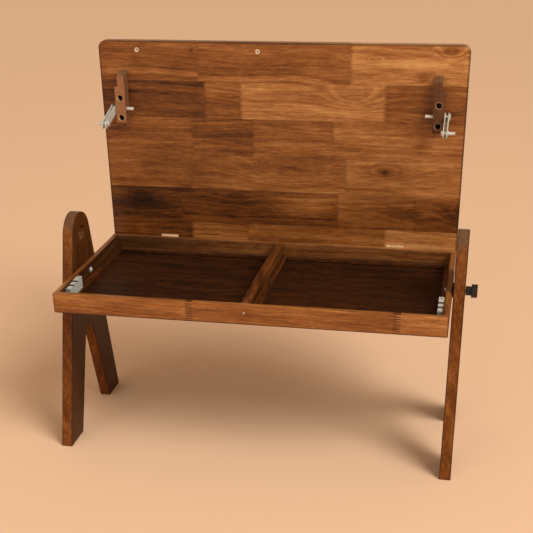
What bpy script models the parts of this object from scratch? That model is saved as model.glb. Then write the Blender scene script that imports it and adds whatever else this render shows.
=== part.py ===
"""Tabletop drafting table: a shallow two-compartment tray on two A-shaped legs, under a hinged board.

The board is the drawing surface. It stands open against its hinges here, so its underside faces the
front, with the two prop links that hold it at a slope when their pegs sit in the racks inside the tray.
Each leg turns on a knob bolt through the middle of a side rail.

Units are metres, +Z is up and +Y points to the back. The origin is the middle of the bounding box's
base, so the feet stand on Z = 0.
"""

import math

import bmesh
import bpy
from mathutils import Matrix, Vector

# --- driving dimensions ---------------------------------------------------------------------------
TRAY_WIDTH = 0.600
TRAY_DEPTH = 0.293
TRAY_TOP = 0.277
RAIL_HEIGHT = 0.0315
RAIL_THICKNESS = 0.010
PANEL_THICKNESS = 0.004
DIVIDER_THICKNESS = 0.014
CLEAT_SIZE = 0.007

LID_THICKNESS = 0.015
LID_REACH = 0.3265          # hinge axis to the free edge
LID_OVERHANG = 0.016        # hinge axis to the rear edge
LID_CORNER_RADIUS = 0.0125
LID_HOLE_RADIUS = 0.0025
LID_HOLE_REACH = 0.3125     # hinge axis to the two small holes
LID_HOLES_X = (-0.235, -0.034)

HINGE_X = 0.197
HINGE_LENGTH = 0.030
KNUCKLE_RADIUS = 0.003
HINGE_PIN_RADIUS = 0.0011
PIN_CLEARANCE = 0.0002
LEAF_THICKNESS = 0.0009
LEAF_BOTTOM_DROP = 0.0125               # hinge axis down to a leaf's lower edge
LEAF_TOP_DROP = 0.0040                  # hinge axis down to a leaf's upper edge
KNUCKLE_ROOT_DROP = (0.0045, 0.0012)    # hinge axis down to the ends of the strip under a knuckle
LID_OFFSET = 0.0004                     # hinge axis to the plane of the lid's underside

LEG_THICKNESS = 0.0177
LEG_GAP = 0.0020            # tray side to leg
LEG_PIVOT = (0.1416, 0.2650)            # y from the tray's front, z
LEG_HOLE = (0.1480, 0.3260, 0.0120)     # y, z, radius
FRONT_FOOT = (0.011, 0.065)             # y where the front leg meets the floor
REAR_FOOT = (0.2025, 0.254)
LEG_APEX = (0.1464, 0.3225, 0.0375)     # y, z, radius of the rounded top
LEG_ARCH = (0.1395, 0.1470, 0.0200)     # y, z, radius of the rounded top of the opening

BLOCK_MIDDLE_X = {"left": 0.2629, "right": 0.2572}      # from the middle of the table
BLOCK_WIDTH = 0.0172
BLOCK_DEPTH = 0.020
BLOCK_REACH = (0.2010, 0.2803)          # hinge axis to the block's ends, on the lid
BLOCK_END_SLANT = 0.006                 # both ends lean towards the hinge
BLOCK_CORNER_RADIUS = 0.006             # the corner next to the link
BLOCK_NOTCH_REACH = 0.2570              # the outer side is cut back from here to the far end
BLOCK_NOTCH_DEPTH = 0.0056
BLOCK_SCREW_REACH = (0.2070, 0.2390)
COUNTERBORE_RADIUS = 0.0050
COUNTERBORE_DEPTH = 0.0145

LINK_PIVOT_REACH = 0.2210               # hinge axis to the link's pivot, along the lid
LINK_PIVOT_DEPTH = 0.0140               # pivot below the lid's underside
LINK_LENGTH = 0.050
LINK_DROOP = math.radians(17.0)         # the link points this far below level at rest
LINK_SHEET = 0.0015
LINK_WIDTH = 0.0070
LINK_DEPTH = 0.0125
LINK_ENDS = (-0.0065, 0.0600)           # the folded channel's ends, from the pivot
LINK_CORNER = 0.005
LINK_SLOT = (0.0090, 0.0440)            # ends of the slot along the channel's upper face
LINK_SLOT_X = (0.0024, 0.0006)          # slot's sides, inwards from the outer flange
LINK_BOLT_RADIUS = 0.0028
LINK_BOLT_END_X = {"left": 0.2430, "right": 0.2365}     # the bolt's threaded end, inboard
BOLT_HEAD_PROFILE = ((0.0, 0.0058), (0.0008, 0.0058), (0.0013, 0.0048), (0.0016, 0.0030))
WASHER_THICKNESS = 0.0006
WASHER_RADIUS = 0.0060
PEG_RADIUS = 0.0027
PEG_TIP_X = {"left": 0.2880, "right": 0.2855}
PEG_HEAD_RADIUS = 0.0041
PEG_HEAD_HEIGHT = 0.0025
PEG_COLLAR_HEIGHT = 0.0015

RACK_X = (0.2820, 0.2897)
RACK_BACK_Y = 0.0805
RACK_TOP = 0.2765
RACK_TREAD_FRONTS = (0.0600, 0.0461, 0.0304)    # y of each tread's front edge
RACK_STEP_DROP = 0.00135
RACK_NOTCH_WIDTH = 0.0030               # the notch in front of a tread, where a peg stands
RACK_NOTCH_DEPTH = 0.0040

KNOB_BOSS_RADIUS = 0.0072
KNOB_BOSS_LENGTH = {"left": 0.0055, "right": 0.0088}
KNOB_HEAD_RADIUS = 0.0110
KNOB_HEAD_LENGTH = 0.0093
KNOB_LOBES = 6
STUD_RADIUS = 0.0030
STUD_END_X = 0.2880                     # the stud's end, inside the tray
STUD_IN_KNOB = 0.0120
INSERT_RADIUS = 0.0050
SPACER_RADIUS = 0.0115

BRAD_DROP = 0.0125                      # tray top down to the brads
BRAD_RADIUS = 0.0008
BRAD_HEAD_RADIUS = 0.0015
BRAD_HEAD_THICKNESS = 0.0006
BRAD_LENGTH = 0.024

SCREW_RADIUS = 0.0016
SCREW_HEAD_RADIUS = 0.0034
SCREW_HEAD_HEIGHT = 0.0018
RACK_SCREW_GRIP = 0.007                 # how deep a screw goes into the side rail
BLOCK_SCREW_GRIP = 0.010                # how deep a screw goes into the lid
RACK_SCREW_SPOTS = ((0.0385, 0.2630), (0.0690, 0.2640))     # y, z
RACK_HOLE_Y = 0.0740
RACK_HOLE_RADIUS = 0.0018
RACK_HOLE_DEPTH = 0.0060

HINGE_SCREW_RADIUS = 0.0008
HINGE_SCREW_HEAD_RADIUS = 0.0018
HINGE_SCREW_LENGTH = 0.0070
HINGE_SCREW_SPREAD = 0.0095             # each screw from the middle of its leaf
HINGE_SCREW_DROP = 0.0088               # hinge axis down to the screws

GAP = 0.0003                            # between pieces that touch
PAST = 0.001                            # how far a cutter runs past the face it opens
TINY = 0.0000005                        # keeps two faces of one join from lying in one plane

# --- derived dimensions ---------------------------------------------------------------------------
SIDE_X = TRAY_WIDTH / 2
INNER_X = SIDE_X - RAIL_THICKNESS
RAIL_BOTTOM = TRAY_TOP - RAIL_HEIGHT
PANEL_TOP = RAIL_BOTTOM + PANEL_THICKNESS
UNDERSIDE_Y = TRAY_DEPTH + 2 * LEAF_THICKNESS + 3 * GAP
HINGE_Y = UNDERSIDE_Y - LID_OFFSET
HINGE_Z = TRAY_TOP
BRAD_Z = TRAY_TOP - BRAD_DROP
LEG_INNER_X = SIDE_X + LEG_GAP
LEG_OUTER_X = LEG_INNER_X + LEG_THICKNESS
KNOB_FACE_X = LEG_OUTER_X + GAP
LINK_PIVOT_Y = UNDERSIDE_Y - LINK_PIVOT_DEPTH
LINK_PIVOT_Z = HINGE_Z + LINK_PIVOT_REACH
Y_SHIFT = -(UNDERSIDE_Y + LID_THICKNESS) / 2             # brings the bounding box's middle to Y = 0

SIDES = (("left", -1), ("right", 1))


# --- scene, materials and collections -------------------------------------------------------------
def clear_scene():
    for obj in list(bpy.data.objects):
        bpy.data.objects.remove(obj, do_unlink=True)


def make_collection(name):
    collection = bpy.data.collections.new(name)
    bpy.context.scene.collection.children.link(collection)
    return collection


clear_scene()
PARTS = make_collection("drafting_table")
CUTTERS = make_collection("cutters")


def make_material(name, colour, roughness, metallic):
    material = bpy.data.materials.new(name)
    material.use_nodes = True
    shader = material.node_tree.nodes["Principled BSDF"]
    shader.inputs["Base Color"].default_value = (*colour, 1.0)
    shader.inputs["Roughness"].default_value = roughness
    shader.inputs["Metallic"].default_value = metallic
    material.diffuse_color = (*colour, 1.0)
    return material


MATERIAL_LOOKS = {
    "board_wood": ((0.235, 0.090, 0.030), 0.35, 0.0),
    "rail_wood": ((0.200, 0.075, 0.025), 0.38, 0.0),
    "leg_wood": ((0.185, 0.065, 0.020), 0.38, 0.0),
    "panel_wood": ((0.030, 0.014, 0.007), 0.50, 0.0),
    "block_wood": ((0.330, 0.150, 0.065), 0.60, 0.0),
    "zinc": ((0.600, 0.600, 0.560), 0.35, 1.0),
    "brass": ((0.620, 0.380, 0.190), 0.30, 1.0),
    "black_plastic": ((0.014, 0.011, 0.010), 0.40, 0.0),
}


def part_material(part_name, look_name):
    colour, roughness, metallic = MATERIAL_LOOKS[look_name]
    return make_material(f"{part_name}_{look_name}", colour, roughness, metallic)


# --- shape helpers --------------------------------------------------------------------------------
def at(x, y, z):
    """A point given with Y measured from the tray's front face."""
    return Vector((x, y + Y_SHIFT, z))


def make_pivot(name, x, y, z):
    pivot = bpy.data.objects.new(name, None)
    pivot.location = at(x, y, z)
    pivot.empty_display_size = 0.01
    PARTS.objects.link(pivot)
    return pivot


def link_mesh(name, mesh, location, collection=PARTS):
    obj = bpy.data.objects.new(name, mesh)
    obj.location = location
    collection.objects.link(obj)
    return obj


def finish(obj, look_name, parent=None, smooth=False):
    """Give a part its material and parent, and shade it."""
    obj.data.materials.clear()
    obj.data.materials.append(part_material(obj.name, look_name))
    if smooth:
        obj.data.shade_smooth()
        obj.data.set_sharp_from_angle(angle=math.radians(35))
    if parent is not None:
        obj.location -= parent.location
        obj.parent = parent
    return obj


def ease_edges(obj, width, segments=2):
    """Round the object's sharp edges, before any holes are cut."""
    bevel = obj.modifiers.new("eased_edges", "BEVEL")
    bevel.width = width
    bevel.segments = segments
    bevel.limit_method = "ANGLE"
    bevel.angle_limit = math.radians(40)
    return bake(obj, [])


def box(name, low, high, collection=PARTS):
    """A box between two corners, both given with Y from the tray's front face."""
    low_point = at(*low)
    high_point = at(*high)
    bpy.ops.mesh.primitive_cube_add(size=1.0)
    cube = bpy.context.active_object
    mesh = cube.data
    mesh.name = name
    bpy.data.objects.remove(cube)
    mesh.transform(Matrix.Diagonal((*(high_point - low_point), 1.0)))
    return link_mesh(name, mesh, (low_point + high_point) / 2, collection)


AXIS_TURN = {
    "X": Matrix.Rotation(math.pi / 2, 4, "Y"),
    "Y": Matrix.Rotation(-math.pi / 2, 4, "X"),
    "Z": Matrix.Identity(4),
}


def cylinder(name, centre, axis, length, radius, sides=24, collection=PARTS):
    bpy.ops.mesh.primitive_cylinder_add(vertices=sides, radius=radius, depth=length)
    tube = bpy.context.active_object
    mesh = tube.data
    mesh.name = name
    bpy.data.objects.remove(tube)
    mesh.transform(AXIS_TURN[axis])
    return link_mesh(name, mesh, at(*centre), collection)


def x_cylinder(name, x_ends, y, z, radius, sides=24, collection=PARTS):
    low, high = sorted(x_ends)
    return cylinder(name, ((low + high) / 2, y, z), "X", high - low, radius, sides, collection)


def turned(name, centre, axis, profile, sides=24, collection=PARTS):
    """A solid of revolution. profile lists (distance along the axis, radius), from the low end up."""
    mesh = bpy.data.meshes.new(name)
    points = [(radius, 0.0, along) for along, radius in reversed(profile)]
    points = [(0.0, 0.0, profile[-1][0])] + points + [(0.0, 0.0, profile[0][0])]
    edges = [(i, i + 1) for i in range(len(points) - 1)]
    mesh.from_pydata(points, edges, [])
    outline = link_mesh(name + "_profile", mesh, (0, 0, 0), CUTTERS)
    screw = outline.modifiers.new("turn", "SCREW")
    screw.axis = "Z"
    screw.steps = sides
    screw.render_steps = sides
    screw.use_merge_vertices = True
    screw.merge_threshold = 0.00001
    solid = evaluated_mesh(outline, name)
    solid.transform(AXIS_TURN[axis])
    return link_mesh(name, solid, at(*centre), collection)


def evaluated_mesh(obj, name):
    """The object's mesh with its modifiers applied and its caps welded. The object is removed."""
    bpy.context.view_layer.update()
    depsgraph = bpy.context.evaluated_depsgraph_get()
    mesh = bpy.data.meshes.new_from_object(obj.evaluated_get(depsgraph), depsgraph=depsgraph)
    mesh.name = name
    welded = bmesh.new()
    welded.from_mesh(mesh)
    bmesh.ops.remove_doubles(welded, verts=welded.verts, dist=0.00001)
    welded.to_mesh(mesh)
    welded.free()
    bpy.data.objects.remove(obj)
    return mesh


# An outline drawn in a curve's own XY plane, turned so that it lies in the plane named.
OUTLINE_TURN = {
    "YZ": Matrix(((0, 0, 1, 0), (1, 0, 0, 0), (0, 1, 0, 0), (0, 0, 0, 1))),
    "XZ": Matrix(((1, 0, 0, 0), (0, 0, -1, 0), (0, 1, 0, 0), (0, 0, 0, 1))),
}


def flat_piece(name, plane, outlines, thickness, centre, collection=PARTS):
    """A flat piece cut to the outlines. The first is its edge and the rest are holes."""
    curve = bpy.data.curves.new(name, "CURVE")
    curve.dimensions = "2D"
    curve.fill_mode = "BOTH"
    curve.extrude = thickness / 2
    for points in outlines:
        spline = curve.splines.new("POLY")
        spline.points.add(len(points) - 1)
        for spot, (u, v) in zip(spline.points, points):
            spot.co = (u, v, 0.0, 1.0)
        spline.use_cyclic_u = True
    drawing = bpy.data.objects.new(name + "_outline", curve)
    CUTTERS.objects.link(drawing)
    mesh = evaluated_mesh(drawing, name)
    bpy.data.curves.remove(curve)
    mesh.transform(OUTLINE_TURN[plane])
    return link_mesh(name, mesh, at(*centre), collection)


def arc(centre_u, centre_v, radius, start_deg, end_deg, steps):
    """Points along an arc, both ends included."""
    points = []
    for step in range(steps + 1):
        angle = math.radians(start_deg + (end_deg - start_deg) * step / steps)
        points.append((centre_u + radius * math.cos(angle), centre_v + radius * math.sin(angle)))
    return points


def cut(obj, cutters):
    """Subtract each cutter from the object, and apply the result."""
    for cutter in cutters:
        cutter.hide_render = True
        cutter.display_type = "WIRE"
        boolean = obj.modifiers.new("cut", "BOOLEAN")
        boolean.operation = "DIFFERENCE"
        boolean.solver = "EXACT"
        boolean.object = cutter
    return bake(obj, cutters)


def join(obj, others):
    """Boolean union of the object and the others."""
    for other in others:
        boolean = obj.modifiers.new("join", "BOOLEAN")
        boolean.operation = "UNION"
        boolean.solver = "EXACT"
        boolean.object = other
    return bake(obj, others)


def bake(obj, spent):
    """Apply the object's modifiers, and remove the spent helpers."""
    bpy.context.view_layer.update()
    depsgraph = bpy.context.evaluated_depsgraph_get()
    mesh = bpy.data.meshes.new_from_object(obj.evaluated_get(depsgraph), depsgraph=depsgraph)
    mesh.name = obj.name
    obj.modifiers.clear()
    obj.data = mesh
    for helper in spent:
        bpy.data.objects.remove(helper)
    return obj


# --- outlines -------------------------------------------------------------------------------------
def leg_outline():
    """The leg's edge in Y and Z: two feet, straight outer edges and a rounded top, with an arch below."""
    apex_y, apex_z, apex_r = LEG_APEX
    arch_y, arch_z, arch_r = LEG_ARCH
    front = tangent_angle((FRONT_FOOT[0], 0.0), (apex_y, apex_z), apex_r, 1)
    rear = tangent_angle((REAR_FOOT[1], 0.0), (apex_y, apex_z), apex_r, -1)
    arch_rear = tangent_angle((REAR_FOOT[0], 0.0), (arch_y, arch_z), arch_r, -1)
    arch_front = tangent_angle((FRONT_FOOT[1], 0.0), (arch_y, arch_z), arch_r, 1)
    outline = [(FRONT_FOOT[0], 0.0), (FRONT_FOOT[1], 0.0)]
    outline += arc(arch_y, arch_z, arch_r, arch_front, arch_rear, 10)
    outline += [(REAR_FOOT[0], 0.0), (REAR_FOOT[1], 0.0)]
    outline += arc(apex_y, apex_z, apex_r, rear, front, 14)
    return outline


def tangent_angle(point, centre, radius, side):
    """Direction from a circle's centre to where the line from a point touches it, in degrees."""
    du = point[0] - centre[0]
    dv = point[1] - centre[1]
    toward = math.atan2(dv, du)
    spread = math.acos(radius / math.hypot(du, dv))
    angle = math.degrees(toward - side * spread)
    return angle % 360


def rounded_rectangle(u_low, u_high, v_low, v_high, radius, steps):
    points = []
    corners = ((u_high, v_high, 0), (u_low, v_high, 90), (u_low, v_low, 180), (u_high, v_low, 270))
    for corner_u, corner_v, start in corners:
        centre_u = corner_u - math.copysign(radius, corner_u - (u_low + u_high) / 2)
        centre_v = corner_v - math.copysign(radius, corner_v - (v_low + v_high) / 2)
        points += arc(centre_u, centre_v, radius, start, start + 90, steps)
    return points


# --- tray -----------------------------------------------------------------------------------------
def hinge_gain_cutters(tag):
    """Clearance for each hinge knuckle in the rear rail's top rear corner."""
    reach = KNUCKLE_RADIUS + GAP
    cutters = []
    for side_name, side in SIDES:
        ends = (side * HINGE_X - HINGE_LENGTH / 2 - GAP, side * HINGE_X + HINGE_LENGTH / 2 + GAP)
        cutters.append(x_cylinder(f"{tag}_{side_name}", ends, HINGE_Y, HINGE_Z, reach, 16, CUTTERS))
    return cutters


def build_rails():
    front = box("front_rail", (-SIDE_X, 0.0, RAIL_BOTTOM), (SIDE_X, RAIL_THICKNESS, TRAY_TOP))
    ease_edges(front, 0.0016, 3)
    cut(front, [brad_hole("front_brad_hole", 0.0, 1)])
    finish(front, "rail_wood")

    rear_low = (-SIDE_X, TRAY_DEPTH - RAIL_THICKNESS, RAIL_BOTTOM)
    rear = ease_edges(box("rear_rail", rear_low, (SIDE_X, TRAY_DEPTH, TRAY_TOP)), 0.0010)
    holes = [brad_hole("rear_brad_hole", TRAY_DEPTH, -1)]
    for spot_x, spot_z in hinge_screw_spots():
        y = TRAY_DEPTH - HINGE_SCREW_LENGTH / 2
        length = HINGE_SCREW_LENGTH + 2 * GAP
        holes.append(
            cylinder("pilot", (spot_x, y, spot_z), "Y", length, HINGE_SCREW_RADIUS + GAP, 12, CUTTERS)
        )
    cut(rear, holes + hinge_gain_cutters("rail_gain"))
    finish(rear, "rail_wood")

    for side_name, side in SIDES:
        xs = sorted((side * INNER_X, side * SIDE_X))
        low = (xs[0], RAIL_THICKNESS + GAP, RAIL_BOTTOM)
        high = (xs[1], TRAY_DEPTH - RAIL_THICKNESS - GAP, TRAY_TOP)
        rail = ease_edges(box(f"{side_name}_rail", low, high), 0.0014)
        holes = [
            x_cylinder("insert_hole", (side * (INNER_X - PAST), side * (SIDE_X + PAST)),
                       *LEG_PIVOT, INSERT_RADIUS + GAP, 16, CUTTERS)
        ]
        for spot_y, spot_z in RACK_SCREW_SPOTS:
            ends = (side * (INNER_X - PAST), side * (INNER_X + RACK_SCREW_GRIP + GAP))
            holes.append(x_cylinder("pilot", ends, spot_y, spot_z, SCREW_RADIUS + GAP, 12, CUTTERS))
        cut(rail, holes)
        finish(rail, "rail_wood")


def brad_hole(name, face_y, inward):
    """A brad's hole from a rail's outer face into the divider, with a seat for its head."""
    seat = cylinder(name, (0.0, face_y, BRAD_Z), "Y", 2 * (BRAD_HEAD_THICKNESS + GAP),
                    BRAD_HEAD_RADIUS + GAP, 12, CUTTERS)
    length = BRAD_LENGTH + GAP
    shaft = cylinder(name + "_shaft", (0.0, face_y + inward * length / 2, BRAD_Z), "Y", length,
                     BRAD_RADIUS + GAP, 12, CUTTERS)
    return join(seat, [shaft])


def build_panel_and_divider():
    low = (-INNER_X + GAP, RAIL_THICKNESS + GAP, RAIL_BOTTOM)
    high = (INNER_X - GAP, TRAY_DEPTH - RAIL_THICKNESS - GAP, PANEL_TOP)
    finish(box("bottom_panel", low, high), "panel_wood")

    half = DIVIDER_THICKNESS / 2
    low = (-half, RAIL_THICKNESS + GAP, PANEL_TOP + GAP)
    high = (half, TRAY_DEPTH - RAIL_THICKNESS - GAP, TRAY_TOP)
    divider = ease_edges(box("divider", low, high), 0.0010)
    cut(divider, [brad_hole("front_hole", 0.0, 1), brad_hole("rear_hole", TRAY_DEPTH, -1)])
    finish(divider, "rail_wood")

    for name, face_y, inward in (("front_brad", 0.0, 1), ("rear_brad", TRAY_DEPTH, -1)):
        head_y = face_y + inward * BRAD_HEAD_THICKNESS / 2
        head = cylinder(name, (0.0, head_y, BRAD_Z), "Y", BRAD_HEAD_THICKNESS, BRAD_HEAD_RADIUS, 12)
        shaft_y = face_y + inward * (BRAD_LENGTH / 2 + BRAD_HEAD_THICKNESS / 4)
        shaft_length = BRAD_LENGTH - BRAD_HEAD_THICKNESS / 2
        shaft = cylinder("brad_shaft", (0.0, shaft_y, BRAD_Z), "Y", shaft_length, BRAD_RADIUS, 8)
        finish(join(head, [shaft]), "zinc")


def build_cleats():
    """Square strips along the foot of each compartment's sides and back."""
    bottom = PANEL_TOP + GAP
    top = bottom + CLEAT_SIZE
    front = RAIL_THICKNESS + GAP
    back = TRAY_DEPTH - RAIL_THICKNESS - GAP
    for side_name, side in SIDES:
        outer = side * (INNER_X - GAP)
        inner = side * (DIVIDER_THICKNESS / 2 + GAP)
        runs = {
            f"{side_name}_cleat_outer": (outer, outer - side * CLEAT_SIZE, front, back),
            f"{side_name}_cleat_divider": (inner, inner + side * CLEAT_SIZE, front, back),
        }
        cross_outer = outer - side * (CLEAT_SIZE + GAP)
        cross_inner = inner + side * (CLEAT_SIZE + GAP)
        runs[f"{side_name}_cleat_rear"] = (cross_outer, cross_inner, back - CLEAT_SIZE, back)
        for name, (x_a, x_b, y_low, y_high) in runs.items():
            low = (min(x_a, x_b), y_low, bottom)
            high = (max(x_a, x_b), y_high, top)
            finish(ease_edges(box(name, low, high), 0.0008, 1), "rail_wood")


# --- racks ----------------------------------------------------------------------------------------
def rack_outline():
    """The rack's side: three treads that step down towards the front, with a notch between each two."""
    bottom = PANEL_TOP + CLEAT_SIZE + 2 * GAP
    points = [(RACK_BACK_Y, bottom), (RACK_BACK_Y, RACK_TOP)]
    z = RACK_TOP
    for front_y in RACK_TREAD_FRONTS[:-1]:
        next_y = front_y - RACK_NOTCH_WIDTH
        root = z - RACK_NOTCH_DEPTH
        points += [(front_y, z), (front_y, root), (next_y, root)]
        z -= RACK_STEP_DROP
        points.append((next_y, z))
    last_y = RACK_TREAD_FRONTS[-1]
    return points + [(last_y, z), (last_y, bottom)]


def build_racks():
    thickness = RACK_X[1] - RACK_X[0]
    for side_name, side in SIDES:
        centre_x = side * (RACK_X[0] + RACK_X[1]) / 2
        rack = flat_piece(f"{side_name}_rack", "YZ", [rack_outline()], thickness, (centre_x, 0.0, 0.0))
        cutters = []
        for number, (spot_y, spot_z) in enumerate(RACK_SCREW_SPOTS, 1):
            seat = (side * (RACK_X[0] - PAST), side * (RACK_X[0] + SCREW_HEAD_HEIGHT + 2 * GAP))
            cutters.append(
                x_cylinder("seat", seat, spot_y, spot_z, SCREW_HEAD_RADIUS + GAP, 12, CUTTERS)
            )
            through = (side * (RACK_X[0] - PAST), side * (RACK_X[1] + PAST))
            cutters.append(x_cylinder("bore", through, spot_y, spot_z, SCREW_RADIUS + GAP, 12, CUTTERS))
            head = (side * (RACK_X[0] + GAP), side * (RACK_X[0] + GAP + SCREW_HEAD_HEIGHT))
            shank = (sum(head) / 2, side * (INNER_X + RACK_SCREW_GRIP))
            screw_name = f"{side_name}_rack_screw_{number}"
            screw = x_cylinder(screw_name, head, spot_y, spot_z, SCREW_HEAD_RADIUS, 12)
            finish(join(screw, [x_cylinder("shank", shank, spot_y, spot_z, SCREW_RADIUS, 8)]), "zinc")
        cutters.append(cylinder("top_hole", (centre_x, RACK_HOLE_Y, RACK_TOP), "Z",
                                2 * RACK_HOLE_DEPTH, RACK_HOLE_RADIUS, 12, CUTTERS))
        cut(rack, cutters)
        finish(rack, "zinc")


# --- hinges ---------------------------------------------------------------------------------------
def hinge_screw_spots():
    """X and Z of each leaf's two screws, on both hinges."""
    spots = []
    for _, side in SIDES:
        for offset in (-HINGE_SCREW_SPREAD, HINGE_SCREW_SPREAD):
            spots.append((side * HINGE_X + offset, HINGE_Z - HINGE_SCREW_DROP))
    return spots


def knuckle(name, x_low, x_high, leaf_y):
    """One barrel of a hinge with the strip that joins it to its leaf, bored for the pin."""
    barrel = x_cylinder(name, (x_low, x_high), HINGE_Y, HINGE_Z, KNUCKLE_RADIUS, 16)
    strip_bottom = HINGE_Z - KNUCKLE_ROOT_DROP[0]
    strip_top = HINGE_Z - KNUCKLE_ROOT_DROP[1]
    join(barrel, [box("strip", (x_low, leaf_y[0], strip_bottom), (x_high, leaf_y[1], strip_top))])
    ends = (x_low - PAST, x_high + PAST)
    bore_radius = HINGE_PIN_RADIUS + PIN_CLEARANCE
    return cut(barrel, [x_cylinder("pin_bore", ends, HINGE_Y, HINGE_Z, bore_radius, 12, CUTTERS)])


def build_hinges(lid_pivot):
    """Two small butt hinges: one leaf behind the rear rail, the other under the lid's rear edge."""
    rail_leaf_y = (TRAY_DEPTH + GAP, TRAY_DEPTH + GAP + LEAF_THICKNESS)
    lid_leaf_y = (UNDERSIDE_Y - GAP - LEAF_THICKNESS, UNDERSIDE_Y - GAP)
    barrel_length = HINGE_LENGTH / 3
    for side_name, side in SIDES:
        x_low = side * HINGE_X - HINGE_LENGTH / 2
        x_high = x_low + HINGE_LENGTH
        middle = (x_low + barrel_length + GAP / 2, x_high - barrel_length - GAP / 2)
        leaf_low = HINGE_Z - LEAF_BOTTOM_DROP
        leaf_top = HINGE_Z - LEAF_TOP_DROP
        spots = [(x, z) for x, z in hinge_screw_spots() if x_low < x < x_high]

        fixed = box(f"{side_name}_hinge_rail_leaf", (x_low, rail_leaf_y[0], leaf_low),
                    (x_high, rail_leaf_y[1], leaf_top))
        ends = ((x_low, x_low + barrel_length - GAP / 2), (x_high - barrel_length + GAP / 2, x_high))
        join(fixed, [knuckle("barrel", *end, rail_leaf_y) for end in ends])
        cut(fixed, [leaf_hole(x, z, rail_leaf_y) for x, z in spots])
        finish(fixed, "brass")

        moving = box(f"{side_name}_hinge_lid_leaf", (x_low, lid_leaf_y[0], leaf_low),
                     (x_high, lid_leaf_y[1], leaf_top))
        join(moving, [knuckle("barrel", *middle, lid_leaf_y)])
        cut(moving, [leaf_hole(x, z, lid_leaf_y) for x, z in spots])
        finish(moving, "brass", lid_pivot)

        pin = x_cylinder(f"{side_name}_hinge_pin", (x_low, x_high), HINGE_Y, HINGE_Z, HINGE_PIN_RADIUS, 12)
        finish(pin, "brass")

    for number, (x, z) in enumerate(hinge_screw_spots(), 1):
        finish(countersunk(f"hinge_rail_screw_{number}", x, z, rail_leaf_y[1], -1), "brass")
        finish(countersunk(f"hinge_lid_screw_{number}", x, z, lid_leaf_y[0], 1), "brass", lid_pivot)


def leaf_hole(x, z, leaf_y):
    middle = (leaf_y[0] + leaf_y[1]) / 2
    length = LEAF_THICKNESS + 2 * PAST
    return cylinder("leaf_hole", (x, middle, z), "Y", length, HINGE_SCREW_HEAD_RADIUS + GAP, 12, CUTTERS)


def countersunk(name, x, z, head_y, direction):
    """A small screw whose flat head lies flush in a leaf, driven along Y in the direction given."""
    head_length = LEAF_THICKNESS + GAP / 2
    head = cylinder(name, (x, head_y + direction * head_length / 2, z), "Y", head_length,
                    HINGE_SCREW_HEAD_RADIUS, 10)
    shank_y = head_y + direction * (LEAF_THICKNESS + HINGE_SCREW_LENGTH) / 2
    shank = cylinder("shank", (x, shank_y, z), "Y", HINGE_SCREW_LENGTH, HINGE_SCREW_RADIUS, 8)
    return join(head, [shank])


# --- lid ------------------------------------------------------------------------------------------
def block_screw_spots():
    """The side, number, X and Z of each screw through the strut blocks."""
    return [
        (side, number, side * BLOCK_MIDDLE_X[side_name], HINGE_Z + reach)
        for side_name, side in SIDES
        for number, reach in enumerate(BLOCK_SCREW_REACH, 1)
    ]


def block_faces(side_name):
    """Distance of a strut block's inner and outer face from the middle of the table."""
    middle = BLOCK_MIDDLE_X[side_name]
    return middle - BLOCK_WIDTH / 2, middle + BLOCK_WIDTH / 2


def link_faces(side_name):
    """Distance of a link's inner and outer face from the middle of the table."""
    inner = block_faces(side_name)[1] + WASHER_THICKNESS + 2 * GAP
    return inner, inner + LINK_WIDTH


def build_lid(lid_pivot):
    outline = rounded_rectangle(-SIDE_X, SIDE_X, HINGE_Z - LID_OVERHANG, HINGE_Z + LID_REACH,
                                LID_CORNER_RADIUS, 6)
    centre_y = UNDERSIDE_Y + LID_THICKNESS / 2
    lid = flat_piece("lid_board", "XZ", [outline], LID_THICKNESS, (0.0, centre_y, 0.0))
    ease_edges(lid, 0.0022, 3)

    cutters = hinge_gain_cutters("lid_gain")
    for hole_x in LID_HOLES_X:
        spot = (hole_x, centre_y, HINGE_Z + LID_HOLE_REACH)
        length = LID_THICKNESS + 2 * PAST
        cutters.append(cylinder("hole", spot, "Y", length, LID_HOLE_RADIUS, 20, CUTTERS))
    for x, z in hinge_screw_spots():
        cutters.append(lid_pilot(x, z, HINGE_SCREW_LENGTH, HINGE_SCREW_RADIUS))
    for _, _, x, z in block_screw_spots():
        cutters.append(lid_pilot(x, z, BLOCK_SCREW_GRIP, SCREW_RADIUS))
    cut(lid, cutters)
    finish(lid, "board_wood", lid_pivot)


def lid_pilot(x, z, depth, radius):
    """A screw's hole in the lid's underside."""
    length = depth + GAP + PAST
    y = UNDERSIDE_Y - PAST + length / 2
    return cylinder("pilot", (x, y, z), "Y", length, radius + GAP, 12, CUTTERS)


def block_outline():
    """The strut block's side in Y and Z: both ends lean, and the corner next to the link is round."""
    back = UNDERSIDE_Y - GAP
    front = back - BLOCK_DEPTH
    low = HINGE_Z + BLOCK_REACH[0]
    high = HINGE_Z + BLOCK_REACH[1]
    radius = BLOCK_CORNER_RADIUS
    corner = arc(front + radius, low - BLOCK_END_SLANT + radius, radius, 180, 275, 6)
    return [(back, high), (front, high - BLOCK_END_SLANT)] + corner + [(back, low)]


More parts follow.
